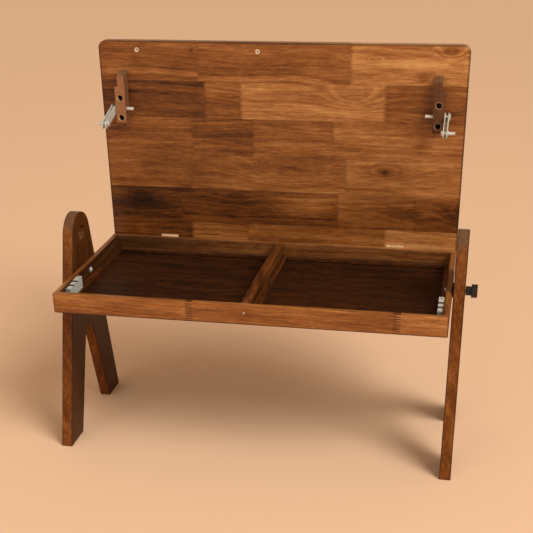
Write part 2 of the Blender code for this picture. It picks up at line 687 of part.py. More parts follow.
def build_blocks(lid_pivot):
    front_y = UNDERSIDE_Y - GAP - BLOCK_DEPTH
    for side_name, side in SIDES:
        inner_face, outer_face = block_faces(side_name)
        centre_x = side * BLOCK_MIDDLE_X[side_name]
        block = flat_piece(f"{side_name}_strut_block", "YZ", [block_outline()], BLOCK_WIDTH,
                           (centre_x, 0.0, 0.0))
        notch_x = sorted((side * (outer_face - BLOCK_NOTCH_DEPTH), side * (outer_face + PAST)))
        notch = box("notch", (notch_x[0], front_y - PAST, HINGE_Z + BLOCK_NOTCH_REACH),
                    (notch_x[1], UNDERSIDE_Y + PAST, HINGE_Z + BLOCK_REACH[1] + PAST), CUTTERS)
        cut(block, [notch])
        ease_edges(block, 0.0007, 1)

        bolt_ends = (side * (inner_face - PAST), side * (outer_face + PAST))
        cutters = [x_cylinder("bolt_bore", bolt_ends, LINK_PIVOT_Y, LINK_PIVOT_Z,
                              LINK_BOLT_RADIUS + GAP, 16, CUTTERS)]
        for spot_side, number, x, z in block_screw_spots():
            if spot_side != side:
                continue
            seat_length = COUNTERBORE_DEPTH + PAST
            seat_y = front_y - PAST + seat_length / 2
            cutters.append(cylinder("counterbore", (x, seat_y, z), "Y", seat_length,
                                    COUNTERBORE_RADIUS, 24, CUTTERS))
            through_y = front_y + BLOCK_DEPTH / 2
            cutters.append(cylinder("through", (x, through_y, z), "Y", BLOCK_DEPTH + 2 * PAST,
                                    SCREW_RADIUS + GAP, 12, CUTTERS))
            head_y = front_y + COUNTERBORE_DEPTH - GAP
            head = cylinder(f"{side_name}_block_screw_{number}", (x, head_y - SCREW_HEAD_HEIGHT / 2, z),
                            "Y", SCREW_HEAD_HEIGHT, SCREW_HEAD_RADIUS, 12)
            end_y = UNDERSIDE_Y + BLOCK_SCREW_GRIP
            start_y = head_y - SCREW_HEAD_HEIGHT / 2
            shank = cylinder("shank", (x, (start_y + end_y) / 2, z), "Y", end_y - start_y,
                             SCREW_RADIUS, 8)
            finish(join(head, [shank]), "zinc", lid_pivot)
        cut(block, cutters)
        finish(block, "block_wood", lid_pivot)

        head_x = link_faces(side_name)[1] + GAP
        ends = (side * LINK_BOLT_END_X[side_name], side * (head_x + PAST))
        bolt = x_cylinder(f"{side_name}_link_bolt", ends, LINK_PIVOT_Y, LINK_PIVOT_Z, LINK_BOLT_RADIUS, 16)
        profile = bolt_head_profile(side)
        head = turned("bolt_head", (side * head_x, LINK_PIVOT_Y, LINK_PIVOT_Z), "X", profile, 16)
        join(bolt, [head])
        finish(bolt, "zinc", lid_pivot, smooth=True)

        washer_x = side * (outer_face + GAP + WASHER_THICKNESS / 2)
        washer = cylinder(f"{side_name}_link_washer", (washer_x, LINK_PIVOT_Y, LINK_PIVOT_Z), "X",
                          WASHER_THICKNESS, WASHER_RADIUS, 24)
        bore_ends = (washer_x - PAST, washer_x + PAST)
        cut(washer, [x_cylinder("washer_bore", bore_ends, LINK_PIVOT_Y, LINK_PIVOT_Z,
                                LINK_BOLT_RADIUS + GAP, 16, CUTTERS)])
        finish(washer, "zinc", lid_pivot, smooth=True)


def bolt_head_profile(side):
    """A low domed head, growing away from the middle of the table."""
    if side > 0:
        return BOLT_HEAD_PROFILE
    return [(-along, radius) for along, radius in reversed(BOLT_HEAD_PROFILE)]


# --- prop links -----------------------------------------------------------------------------------
def build_links(link_pivots):
    """Each link is a folded strip: a channel on the pivot bolt, with the peg through its far end.

    It is built pointing along +Y from its pivot, and then turned to its place.
    """
    half = LINK_DEPTH / 2
    start, end = LINK_ENDS
    outline = [(start, half)]
    outline += arc(start + LINK_CORNER, -half + LINK_CORNER, LINK_CORNER, 180, 270, 4)
    outline += arc(end - half, 0.0, half, -90, 90, 8)
    for side_name, side in SIDES:
        pivot = link_pivots[side_name]
        inner_x, outer_x = link_faces(side_name)
        centres = (side * (inner_x + LINK_SHEET / 2), side * (outer_x - LINK_SHEET / 2))
        link = flat_piece(f"{side_name}_link", "YZ", [outline], LINK_SHEET, (centres[0], 0.0, 0.0))
        flange = flat_piece("flange", "YZ", [outline], LINK_SHEET, (centres[1], 0.0, 0.0))
        web_x = sorted((side * (inner_x + TINY), side * (outer_x - TINY)))
        web = box("web", (web_x[0], start + TINY, half - LINK_SHEET), (web_x[1], end - half, half - TINY))
        join(link, [flange, web])
        slot_x = sorted(side * (outer_x - LINK_SHEET - inwards) for inwards in LINK_SLOT_X)
        slot = box("slot", (slot_x[0], LINK_SLOT[0], 0.0), (slot_x[1], LINK_SLOT[1], half + PAST), CUTTERS)
        reach_x = (side * (inner_x - PAST), side * (outer_x + PAST))
        pivot_bore = x_cylinder("pivot_bore", reach_x, 0.0, 0.0, LINK_BOLT_RADIUS + GAP, 16, CUTTERS)
        peg_bore = x_cylinder("peg_bore", reach_x, LINK_LENGTH, 0.0, PEG_RADIUS + GAP, 16, CUTTERS)
        cut(link, [slot, pivot_bore, peg_bore])
        place_on_link(link, side, pivot)
        finish(link, "zinc")

        head_ends = (side * (inner_x - GAP - PEG_HEAD_HEIGHT), side * (inner_x - GAP))
        peg_ends = (sum(head_ends) / 2, side * PEG_TIP_X[side_name])
        peg = x_cylinder(f"{side_name}_peg", peg_ends, LINK_LENGTH, 0.0, PEG_RADIUS, 16)
        head = x_cylinder("peg_head", head_ends, LINK_LENGTH, 0.0, PEG_HEAD_RADIUS, 16)
        collar_start = outer_x + GAP
        collar_ends = (side * collar_start, side * (collar_start + PEG_COLLAR_HEIGHT))
        collar = x_cylinder("peg_collar", collar_ends, LINK_LENGTH, 0.0, PEG_HEAD_RADIUS, 16)
        join(peg, [head, collar])
        place_on_link(peg, side, pivot)
        finish(peg, "zinc", smooth=True)


def place_on_link(obj, side, pivot):
    """Turn a piece built along +Y to the link's resting direction, about the pivot."""
    obj.data.transform(Matrix.Translation(obj.location - at(0.0, 0.0, 0.0)))
    obj.data.transform(Matrix.Rotation(math.pi + LINK_DROOP, 4, "X"))
    obj.location = (0.0, 0.0, 0.0)
    obj.parent = pivot


# --- legs and knobs -------------------------------------------------------------------------------
def build_legs(leg_pivots):
    for side_name, side in SIDES:
        centre_x = side * (LEG_INNER_X + LEG_OUTER_X) / 2
        hole_y, hole_z, hole_radius = LEG_HOLE
        hole = arc(hole_y, hole_z, hole_radius, 0, 340, 17)
        bore = arc(*LEG_PIVOT, STUD_RADIUS + GAP, 0, 330, 11)
        leg = flat_piece(f"{side_name}_leg", "YZ", [leg_outline(), hole, bore], LEG_THICKNESS,
                         (centre_x, 0.0, 0.0))
        ease_edges(leg, 0.0014)
        finish(leg, "leg_wood", leg_pivots[side_name])


def ring(name, x_ends, outer_radius, inner_radius):
    """A washer or sleeve round the leg's pivot."""
    body = x_cylinder(name, x_ends, *LEG_PIVOT, outer_radius, 24)
    low, high = sorted(x_ends)
    bore_ends = (low - PAST, high + PAST)
    return cut(body, [x_cylinder("ring_bore", bore_ends, *LEG_PIVOT, inner_radius, 16, CUTTERS)])


def knob_outline():
    """The knob head's lobed edge."""
    points = []
    steps = KNOB_LOBES * 6
    for step in range(steps):
        angle = 2 * math.pi * step / steps
        radius = KNOB_HEAD_RADIUS * (0.955 + 0.045 * math.cos(KNOB_LOBES * angle))
        points.append((radius * math.sin(angle), radius * math.cos(angle)))
    return points


def build_knobs(knob_pivots):
    for side_name, side in SIDES:
        insert = ring(f"{side_name}_insert", (side * (INNER_X + GAP), side * (SIDE_X - GAP)),
                      INSERT_RADIUS, STUD_RADIUS + GAP)
        finish(insert, "zinc", smooth=True)
        spacer = ring(f"{side_name}_spacer", (side * (SIDE_X + GAP), side * (LEG_INNER_X - GAP)),
                      SPACER_RADIUS, STUD_RADIUS + GAP)
        finish(spacer, "black_plastic", smooth=True)

        boss_length = KNOB_BOSS_LENGTH[side_name]
        boss_ends = (side * KNOB_FACE_X, side * (KNOB_FACE_X + boss_length + PAST))
        knob = x_cylinder(f"{side_name}_knob", boss_ends, *LEG_PIVOT, KNOB_BOSS_RADIUS, 24)
        head_x = side * (KNOB_FACE_X + boss_length + KNOB_HEAD_LENGTH / 2)
        head = flat_piece("knob_head", "YZ", [knob_outline()], KNOB_HEAD_LENGTH,
                          (head_x, *LEG_PIVOT))
        ease_edges(head, 0.0015)
        join(knob, [head])
        socket = (side * (KNOB_FACE_X - PAST), side * (KNOB_FACE_X + STUD_IN_KNOB + GAP))
        cut(knob, [x_cylinder("stud_socket", socket, *LEG_PIVOT, STUD_RADIUS + GAP, 16, CUTTERS)])
        finish(knob, "black_plastic", knob_pivots[side_name], smooth=True)

        stud_ends = (side * STUD_END_X, side * (KNOB_FACE_X + STUD_IN_KNOB))
        stud = x_cylinder(f"{side_name}_stud", stud_ends, *LEG_PIVOT, STUD_RADIUS, 16)
        ease_edges(stud, 0.0005, 1)
        finish(stud, "zinc", knob_pivots[side_name], smooth=True)


# --- the whole table -----------------------------------------------------------------------------
def build():
    lid_pivot = make_pivot("lid_pivot", 0.0, HINGE_Y, HINGE_Z)
    leg_pivots = {}
    knob_pivots = {}
    link_pivots = {}
    for side_name, side in SIDES:
        leg_pivots[side_name] = make_pivot(f"{side_name}_leg_pivot", side * LEG_INNER_X, *LEG_PIVOT)
        knob_pivots[side_name] = make_pivot(f"{side_name}_knob_pivot", side * KNOB_FACE_X, *LEG_PIVOT)
        link_pivots[side_name] = make_pivot(f"{side_name}_link_pivot", 0.0, LINK_PIVOT_Y, LINK_PIVOT_Z)
    build_rails()
    build_panel_and_divider()
    build_cleats()
    build_racks()
    build_hinges(lid_pivot)
    build_lid(lid_pivot)
    build_blocks(lid_pivot)
    build_links(link_pivots)
    build_legs(leg_pivots)
    build_knobs(knob_pivots)


build()
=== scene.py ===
"""Looks for the tabletop drafting table: stained staves, zinc and brass fittings, black knobs.

Every material is made of nodes that read the object's own coordinates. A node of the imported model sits
at the origin with its place in its mesh, so those are metres in the table's frame, and they stay with
the piece when it moves. X runs along the board, Y to the back and Z up.
"""

import math

import bpy
from mathutils import Matrix, Vector


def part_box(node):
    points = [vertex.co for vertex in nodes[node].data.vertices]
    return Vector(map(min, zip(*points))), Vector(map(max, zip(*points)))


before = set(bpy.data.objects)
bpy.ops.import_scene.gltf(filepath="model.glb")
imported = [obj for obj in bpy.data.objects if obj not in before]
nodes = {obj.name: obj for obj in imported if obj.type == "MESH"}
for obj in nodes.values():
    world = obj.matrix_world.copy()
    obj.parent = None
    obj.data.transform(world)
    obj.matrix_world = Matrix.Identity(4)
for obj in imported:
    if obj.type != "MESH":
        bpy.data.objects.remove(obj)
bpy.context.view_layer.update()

SIDES = (("left", -1), ("right", 1))

# --- camera and light -----------------------------------------------------------------------------
# Places are in metres, angles in radians, and the lens and its sensor in millimetres.
CAMERA_PLACE = (0.3176, -1.52535, 0.8507)
CAMERA_YAW = 0.2055
CAMERA_PITCH = -0.4848
CAMERA_ROLL = -0.0177
CAMERA_LENS = 69.12
CAMERA_SENSOR = 36.0
CAMERA_SHIFT_Y = 0.2598         # the photograph is the upper part of a taller view
WORLD_COLOUR = (1.0, 0.77, 0.56, 1.0)
WORLD_STRENGTH = 0.48


def make_camera():
    yaw, pitch, roll = CAMERA_YAW, CAMERA_PITCH, CAMERA_ROLL
    forward = Vector((-math.sin(yaw) * math.cos(pitch), math.cos(yaw) * math.cos(pitch), math.sin(pitch)))
    level = Vector((math.cos(yaw), math.sin(yaw), 0.0))
    upright = level.cross(forward)
    right = math.cos(roll) * level + math.sin(roll) * upright
    up = math.cos(roll) * upright - math.sin(roll) * level
    data = bpy.data.cameras.new("camera")
    data.sensor_width = CAMERA_SENSOR
    data.lens = CAMERA_LENS
    data.shift_y = CAMERA_SHIFT_Y
    camera = bpy.data.objects.new("camera", data)
    turn = Matrix((right, up, -forward)).transposed().to_4x4()
    camera.matrix_world = Matrix.Translation(CAMERA_PLACE) @ turn
    bpy.context.scene.collection.objects.link(camera)
    bpy.context.scene.camera = camera


def area_light(name, place, target, size, power, colour):
    data = bpy.data.lights.new(name, "AREA")
    data.shape = "RECTANGLE"
    data.size, data.size_y = size
    data.energy = power
    data.color = colour
    light = bpy.data.objects.new(name, data)
    aim = Vector(target) - Vector(place)
    light.matrix_world = Matrix.Translation(place) @ aim.to_track_quat("-Z", "Y").to_matrix().to_4x4()
    light.visible_camera = False
    bpy.context.scene.collection.objects.link(light)


def sun_light(name, direction, strength, angle, colour):
    data = bpy.data.lights.new(name, "SUN")
    data.energy = strength
    data.angle = angle
    data.color = colour
    light = bpy.data.objects.new(name, data)
    light.matrix_world = Vector(direction).to_track_quat("-Z", "Y").to_matrix().to_4x4()
    bpy.context.scene.collection.objects.link(light)


def make_lights():
    sun_light("window", direction=(-0.62, 0.34, -0.70), strength=1.66, angle=0.60, colour=(0.95, 0.97, 0.96))
    area_light("key", place=(1.9, -1.3, 2.3), target=(0.05, 0.0, 0.2), size=(1.3, 1.3), power=30.0,
               colour=(0.98, 0.97, 0.95))
    area_light("fill", place=(-1.2, -2.6, 1.8), target=(0.0, 0.0, 0.3), size=(2.0, 2.0), power=14.0,
               colour=(1.0, 0.94, 0.88))
    world = bpy.data.worlds.new("studio")
    world.use_nodes = True
    background = world.node_tree.nodes["Background"]
    background.inputs["Color"].default_value = WORLD_COLOUR
    background.inputs["Strength"].default_value = WORLD_STRENGTH
    bpy.context.scene.world = world


# --- material trees -------------------------------------------------------------------------------
class Tree:
    """A material's node tree, with a short call for each kind of node."""

    def __init__(self, name):
        self.material = bpy.data.materials.new(name)
        self.material.use_nodes = True
        self.nodes = self.material.node_tree.nodes
        self.links = self.material.node_tree.links
        self.shader = self.nodes["Principled BSDF"]

    def plug(self, socket, value):
        """Link a socket to another, or set its value."""
        if isinstance(value, bpy.types.NodeSocket):
            self.links.new(value, socket)
        elif isinstance(value, tuple) and len(value) == 3 and socket.type == "RGBA":
            socket.default_value = (*value, 1.0)
        else:
            socket.default_value = value

    def set(self, **values):
        """Set the shader's sockets. An underscore in a name stands for a space."""
        for name, value in values.items():
            self.plug(self.shader.inputs[name.replace("_", " ")], value)

    def math(self, operation, a, b=0.0, c=0.0):
        node = self.nodes.new("ShaderNodeMath")
        node.operation = operation
        for socket, value in zip(node.inputs, (a, b, c)):
            self.plug(socket, value)
        return node.outputs[0]

    def add(self, a, b):
        return self.math("ADD", a, b)

    def subtract(self, a, b):
        return self.math("SUBTRACT", a, b)

    def multiply(self, a, b):
        return self.math("MULTIPLY", a, b)

    def scaled(self, value, factor, offset=0.0):
        return self.math("MULTIPLY_ADD", value, factor, offset)

    def absolute(self, value):
        return self.math("ABSOLUTE", value)

    def larger(self, a, b):
        return self.math("MAXIMUM", a, b)

    def vector(self, x, y, z):
        node = self.nodes.new("ShaderNodeCombineXYZ")
        for socket, value in zip(node.inputs, (x, y, z)):
            self.plug(socket, value)
        return node.outputs[0]

    def split(self, vector):
        node = self.nodes.new("ShaderNodeSeparateXYZ")
        self.plug(node.inputs[0], vector)
        return node.outputs

    def place(self):
        """X, Y and Z in metres, as separate numbers."""
        return self.split(self.nodes.new("ShaderNodeTexCoord").outputs["Object"])

    def normal(self):
        return self.split(self.nodes.new("ShaderNodeTexCoord").outputs["Normal"])

    def noise(self, position, scale=1.0, detail=2.0, roughness=0.5, distortion=0.0):
        node = self.nodes.new("ShaderNodeTexNoise")
        self.plug(node.inputs["Vector"], position)
        for name, value in (("Scale", scale), ("Detail", detail), ("Roughness", roughness),
                            ("Distortion", distortion)):
            node.inputs[name].default_value = value
        return node.outputs[0]

    def stretched(self, place, rates, **settings):
        """Noise with its own number of cells per metre for each of the place's three numbers."""
        scaled = [self.scaled(value, rate) for value, rate in zip(place, rates)]
        return self.noise(self.vector(*scaled), **settings)

    def flat(self, place, rates, slice_at=0.0):
        """A place in a flat slice of noise, with its two numbers scaled."""
        return self.vector(self.scaled(place[0], rates[0]), self.scaled(place[1], rates[1]), slice_at)

    def swing(self, noise, width):
        """Noise moved so that it swings about zero, width wide in all."""
        return self.scaled(noise, width, -width / 2)

    def bands(self, position, detail, roughness):
        """Noise along one line."""
        node = self.nodes.new("ShaderNodeTexNoise")
        node.noise_dimensions = "1D"
        self.plug(node.inputs["W"], position)
        node.inputs["Scale"].default_value = 1.0
        node.inputs["Detail"].default_value = detail
        node.inputs["Roughness"].default_value = roughness
        return node.outputs[0]

    def ramp(self, value, stops, interpolation="LINEAR"):
        node = self.nodes.new("ShaderNodeValToRGB")
        ramp = node.color_ramp
        ramp.interpolation = interpolation
        ramp.elements.remove(ramp.elements[1])
        for number, (position, colour) in enumerate(stops):
            element = ramp.elements[0] if number == 0 else ramp.elements.new(position)
            element.position = position
            element.color = (*colour, 1.0)
        self.plug(node.inputs[0], value)
        return node.outputs["Color"]

    def span(self, value, low, high, to_low=0.0, to_high=1.0):
        """Map a range to another with soft ends, and hold its limits."""
        node = self.nodes.new("ShaderNodeMapRange")
        node.interpolation_type = "SMOOTHSTEP"
        for socket, number in zip(node.inputs, (value, low, high, to_low, to_high)):
            self.plug(socket, number)
        return node.outputs[0]

    def mix(self, factor, a, b):
        node = self.nodes.new("ShaderNodeMix")
        node.data_type = "RGBA"
        node.clamp_factor = True
        for identifier, value in (("Factor_Float", factor), ("A_Color", a), ("B_Color", b)):
            socket = next(s for s in node.inputs if s.identifier == identifier)
            self.plug(socket, value)
        return next(s for s in node.outputs if s.identifier == "Result_Color")

    def channels(self, colour):
        node = self.nodes.new("ShaderNodeSeparateColor")
        self.plug(node.inputs[0], colour)
        return node.outputs

    def bump(self, height, distance, strength):
        """Raise the surface by height times distance, in metres."""
        node = self.nodes.new("ShaderNodeBump")
        node.inputs["Strength"].default_value = strength
        node.inputs["Distance"].default_value = distance
        self.plug(node.inputs["Height"], height)
        self.plug(self.shader.inputs["Normal"], node.outputs[0])


# --- wood -----------------------------------------------------------------------------------------
WOOD_COLOURS = (
    (0.00, (0.010, 0.003, 0.001)),
    (0.20, (0.050, 0.013, 0.002)),
    (0.40, (0.150, 0.042, 0.006)),
    (0.60, (0.282, 0.096, 0.020)),
    (0.80, (0.465, 0.195, 0.058)),
    (1.00, (0.680, 0.350, 0.120)),
)
PORE_COLOUR = (0.024, 0.007, 0.002)
PORE_SPAN = (0.60, 0.74)
PORE_STRENGTH = 0.45
WOOD_RELIEF = 0.00012
# raw wood in the counterbores, paler than the wood's own colour as painted light
RAW_WOOD_WITH_PAINTED_LIGHT = (0.80, 0.48, 0.28)
# near-white painted light for the lid holes' walls and rims, in place of the light seen through the holes
HOLE_LIGHT_COLOUR = (0.95, 0.85, 0.70)
# a near-black brown: the inner faces' dark, and the colour of the painted shade on the legs, the rear rail
# and deep in the counterbores
INSIDE_COLOUR = (0.016, 0.005, 0.0015)
END_GRAIN_COLOURS = (
    (0.30, (0.030, 0.012, 0.005)),
    (0.50, (0.125, 0.066, 0.032)),
    (0.70, (0.240, 0.160, 0.095)),
)
END_SPECKLE_RATES = (900.0, 900.0)
END_PATCH_RATES = (60.0, 60.0)
END_PATCH_SLICE = 3.0
END_FACING = (0.30, 0.80)
# Cells per metre along the grain, across it and into the wood, from the coarsest noise to the finest,
# and then growth rings per metre.
DRIFT_RATES = (5.0, 13.0, 13.0)
CLOUD_RATES = (8.0, 46.0, 46.0)
FLECK_RATES = (62.0, 280.0, 280.0)
STREAK_RATES = (24.0, 400.0, 400.0)
FIBRE_RATES = (85.0, 1000.0, 1000.0)
RING_RATES = (1.1, 105.0, 60.0)
RING_DRIFT = 3.2
SEED_STRIDE = 7.31                  # metres along the grain from one seed to the next whole one


def wood(tree, along, across, depth, tone, seed, flow=0.0, contrast=1.0):
    """Stained hardwood, with the grain running along the first coordinate.

    tone is the lightness from 0 to 1, seed picks the pattern and flow bends the growth rings. All
    three may be numbers or sockets. Returns the colour, the surface's height and the fibres' noise.
    """
    along = tree.add(along, tree.scaled(seed, SEED_STRIDE))
    place = (along, across, depth)
    drift = tree.stretched(place, DRIFT_RATES, detail=1.5)
    rate_along, rate_across, rate_depth = RING_RATES
    rings = tree.add(tree.scaled(across, rate_across), tree.scaled(depth, rate_depth))
    rings = tree.add(rings, tree.scaled(along, rate_along))
    rings = tree.add(rings, tree.scaled(drift, RING_DRIFT))
    rings = tree.add(rings, flow)
    figure = tree.bands(rings, detail=3.5, roughness=0.62)
    cloud = tree.stretched(place, CLOUD_RATES, detail=2.0)
    streak = tree.stretched(place, STREAK_RATES, detail=3.0, roughness=0.62)
    fibre = tree.stretched(place, FIBRE_RATES, detail=3.0, roughness=0.65)
    fleck = tree.stretched(place, FLECK_RATES, detail=3.0, roughness=0.68, distortion=0.3)
    level = tree.swing(figure, 0.48 * contrast)
    for noise, width in ((cloud, 0.44 * contrast), (fleck, 0.36), (streak, 0.40), (fibre, 0.42)):
        level = tree.add(level, tree.swing(noise, width))
    level = tree.add(level, tone)
    colour = tree.ramp(level, WOOD_COLOURS)
    pores = tree.span(fibre, *PORE_SPAN)
    colour = tree.mix(tree.scaled(pores, PORE_STRENGTH), colour, PORE_COLOUR)
    height = tree.subtract(tree.scaled(streak, 0.6), tree.scaled(pores, 0.8))
    return colour, height, fibre


def from_axis(tree, u, v, centre_u, centre_v):
    """Distance from an axis that runs through the point centre_u, centre_v."""
    off_u = tree.subtract(u, centre_u)
    off_v = tree.subtract(v, centre_v)
    return tree.math("SQRT", tree.add(tree.multiply(off_u, off_u), tree.multiply(off_v, off_v)))


def end_grain(tree, colour, facing, depth_a, depth_b, amount=0.75):
    """Greyer, speckled wood where the surface faces along the grain."""
    place = (depth_a, depth_b)
    speckle = tree.noise(tree.flat(place, END_SPECKLE_RATES), detail=3.0)
    rough = tree.ramp(speckle, END_GRAIN_COLOURS)
    patch = tree.noise(tree.flat(place, END_PATCH_RATES, END_PATCH_SLICE), detail=2.0)
    cut = tree.span(tree.absolute(facing), *END_FACING)
    mask = tree.multiply(cut, tree.span(patch, 0.25, 0.60, 0.45, amount))
    return tree.mix(mask, colour, rough)


def finish_wood(tree, colour, height, fibre, gloss=0.36, shine=0.32):
    """Lay a thin oiled finish on the wood. gloss is its mean roughness and shine its reflection."""
    tree.set(Base_Color=colour, Specular_IOR_Level=shine, Coat_Weight=0.05, Coat_Roughness=0.30)
    tree.set(Roughness=tree.scaled(fibre, 0.22, gloss - 0.11))
    tree.bump(height, WOOD_RELIEF, strength=0.6)
    return tree.material


STAVES_SPAN = (-0.31, 0.31)         # a little past both ends of the board
START = STAVES_SPAN[0]
GLUE_WIDTH_ALONG = 0.0011
GLUE_WIDTH_ACROSS = 0.0007
SEED_STEP = 0.002                   # the seeds of two staves differ by more than this


def staves(tree, along, across, rows):
    """Look up the stave at a place. rows lists (upper edge, ((start, tone, seed), ...)) from below.

    Returns the stave's tone and seed.
    """
    low, high = STAVES_SPAN
    place = tree.scaled(along, 1.0 / (high - low), -low / (high - low))
    result = None
    edge_below = None
    for edge, row in rows:
        stops = [((start - low) / (high - low), (tone, seed, 0.0)) for start, tone, seed in row]
        colours = tree.ramp(place, stops, "CONSTANT")
        if result is None:
            result = colours
        else:
            result = tree.mix(tree.math("GREATER_THAN", across, edge_below), result, colours)
        edge_below = edge
    tone, seed, _ = tree.channels(result)
    return tone, seed


def glued_staves(tree, along, across, rows, finger_length, finger_pitch):
    """The staves' tones and seeds with finger joints between them, and a mask of the glue lines."""
    teeth = tree.math("PINGPONG", across, finger_pitch / 2)
    notched = tree.add(along, tree.scaled(teeth, 2 * finger_length / finger_pitch, -finger_length / 2))
    tone, seed = staves(tree, notched, across, rows)
    near_along = tree.add(notched, GLUE_WIDTH_ALONG)
    near_across = tree.add(across, GLUE_WIDTH_ACROSS)
    _, near_seed = staves(tree, near_along, near_across, rows)
    line = tree.math("GREATER_THAN", tree.absolute(tree.subtract(seed, near_seed)), SEED_STEP)
    return tone, seed, line


HINGE_Z = 0.277                     # height of the hinges' axis
# The board's rows of staves, from below: upper edge, then each stave's start, tone and seed.
BOARD_ROWS = (
    (HINGE_Z + 0.029, ((START, 0.33, 0.05), (-0.157, 0.55, 0.15), (-0.057, 0.54, 0.25), (0.179, 0.79, 0.35))),
    (HINGE_Z + 0.087, ((START, 0.28, 0.10), (-0.173, 0.38, 0.22), (0.097, 0.50, 0.34), (0.227, 0.46, 0.37))),
    (HINGE_Z + 0.145, ((START, 0.50, 0.45), (-0.154, 0.53, 0.57), (0.111, 0.68, 0.69))),
    (HINGE_Z + 0.206, ((START, 0.52, 0.62), (-0.149, 0.43, 0.74), (-0.045, 0.55, 0.77), (0.089, 0.63, 0.86))),
    (HINGE_Z + 0.2645,
     ((START, 0.37, 0.91), (-0.125, 0.54, 0.13), (-0.065, 0.74, 0.27), (0.170, 0.53, 0.43))),
    (1.0, ((START, 0.52, 0.53), (-0.135, 0.58, 0.67), (0.114, 0.77, 0.81))),
)
# Figures in the board: centre X and Z, half width, half height, how far the rings bend, darkening.
BOARD_FIGURES = (
    (0.020, 0.393, 0.060, 0.018, 5.0, 0.00),
    (0.176, 0.403, 0.034, 0.011, 4.0, 0.10),
    (0.176, 0.403, 0.006, 0.004, 1.5, 0.35),
    (0.120, 0.522, 0.036, 0.016, 3.5, 0.10),
    (0.230, 0.553, 0.010, 0.008, 2.0, 0.22),
    (0.271, 0.592, 0.014, 0.007, 2.5, 0.22),
    (0.281, 0.573, 0.010, 0.003, 1.5, 0.20),
    (0.153, 0.581, 0.012, 0.004, 2.0, 0.12),
    (0.215, 0.577, 0.070, 0.006, 1.5, -0.16),
    (-0.143, 0.590, 0.004, 0.003, 1.5, 0.25),
    (0.234, 0.446, 0.010, 0.003, 1.5, 0.12),
    (0.300, 0.335, 0.022, 0.016, 3.0, 0.24),
    (0.215, 0.330, 0.030, 0.007, 1.5, 0.14),
    (-0.250, 0.340, 0.040, 0.014, 1.5, 0.16),
    (-0.165, 0.362, 0.016, 0.005, 1.0, 0.18),
    (0.045, 0.424, 0.040, 0.004, 1.0, 0.10),
    (0.050, 0.345, 0.045, 0.016, 1.0, -0.32),
    (-0.060, 0.350, 0.050, 0.012, 1.0, 0.03),
    (-0.235, 0.338, 0.030, 0.008, 1.0, 0.12),
    (0.060, 0.470, 0.060, 0.008, 1.5, -0.10),
    (-0.030, 0.570, 0.090, 0.010, 1.0, 0.08),
)
FIGURE_FADE = 0.7
BOARD_GLUE_STRENGTH = 0.50
BOARD_FINGER_LENGTH = 0.0055
BOARD_FINGER_PITCH = 0.0034
BOARD_RIM_STRENGTHS = (0.70, 0.25)  # on the rounded edges, and on the flat top edge
BOARD_RIM_X = (0.2962, 0.2992)
BOARD_RIM_Z = (0.5998, 0.6028)
LID_HOLES_X = (-0.235, -0.034)
LID_HOLES_Z = HINGE_Z + 0.3125
# radii over which the painted light around each lid hole fades out
LID_HOLE_LIGHT_RADII = (0.0036, 0.0031)


def board_wood():
    """Staves with knots and swirls, dark rounded edges, and painted light on the walls and rims of the two
    small holes.
    """
    tree = Tree("board_staves")
    x, y, z = tree.place()
    tone, seed, line = glued_staves(tree, x, z, BOARD_ROWS, BOARD_FINGER_LENGTH, BOARD_FINGER_PITCH)
    flow = 0.0
    for centre_x, centre_z, half_x, half_z, bend, dark in BOARD_FIGURES:
        off_x = tree.scaled(x, 1.0 / half_x, -centre_x / half_x)
        off_z = tree.scaled(z, 1.0 / half_z, -centre_z / half_z)
        squared = tree.add(tree.multiply(off_x, off_x), tree.multiply(off_z, off_z))
        weight = tree.math("POWER", math.e, tree.scaled(squared, -FIGURE_FADE))
        flow = tree.add(tree.scaled(weight, bend), flow)
        tone = tree.subtract(tone, tree.scaled(weight, dark))
    colour, height, fibre = wood(tree, x, z, y, tone, seed, flow)
    colour = tree.mix(tree.scaled(line, BOARD_GLUE_STRENGTH), colour, PORE_COLOUR)
    colour = end_grain(tree, colour, tree.normal()[0], y, z)
    rim = tree.larger(tree.span(tree.absolute(x), *BOARD_RIM_X), tree.span(z, *BOARD_RIM_Z))
    rim = tree.multiply(rim, tree.span(tree.normal()[2], 0.60, 0.95, *BOARD_RIM_STRENGTHS))
    colour = tree.mix(rim, colour, PORE_COLOUR)
    # Painted light: each small hole's wall and rim are painted near-white, as if lit by light passing
    # through.
    for hole_x in LID_HOLES_X:
        painted_light = tree.span(from_axis(tree, x, z, hole_x, LID_HOLES_Z), *LID_HOLE_LIGHT_RADII)
        colour = tree.mix(painted_light, colour, HOLE_LIGHT_COLOUR)
    return finish_wood(tree, colour, height, fibre, gloss=0.34)


RAIL_JOINTS_X = (-0.085, 0.226)
RAIL_FINGER_LENGTH = 0.011
RAIL_FINGER_PITCH = 0.0038
RAIL_GLUE_STRENGTH = 0.75
RAIL_EDGE_AND_SHADOW_STRENGTH = 0.80
RAIL_INSIDE_STRENGTH = 0.85
RAIL_RIM_X = (0.2972, 0.2994)
# the band along the front rail's bottom edge that is painted shadow
RAIL_SHADOW_Z = (0.2484, 0.2465)
FRONT_RAIL_INNER_Y = (-0.1470, -0.1455)
REAR_RAIL_INNER_Y = (0.1360, 0.1290)
# the inner face's darkening at each end of this span; the extra dark at the left end is painted shadow
REAR_RAIL_SHADOW_X = (-0.27, -0.02)
REAR_RAIL_SHADOW_STRENGTHS = (0.82, 0.34)
# The front rail's one row of staves, in the board's form.
RAIL_ROW = ((1.0, ((START, 0.58, 0.12), (-0.085, 0.55, 0.37), (0.226, 0.64, 0.58))),)


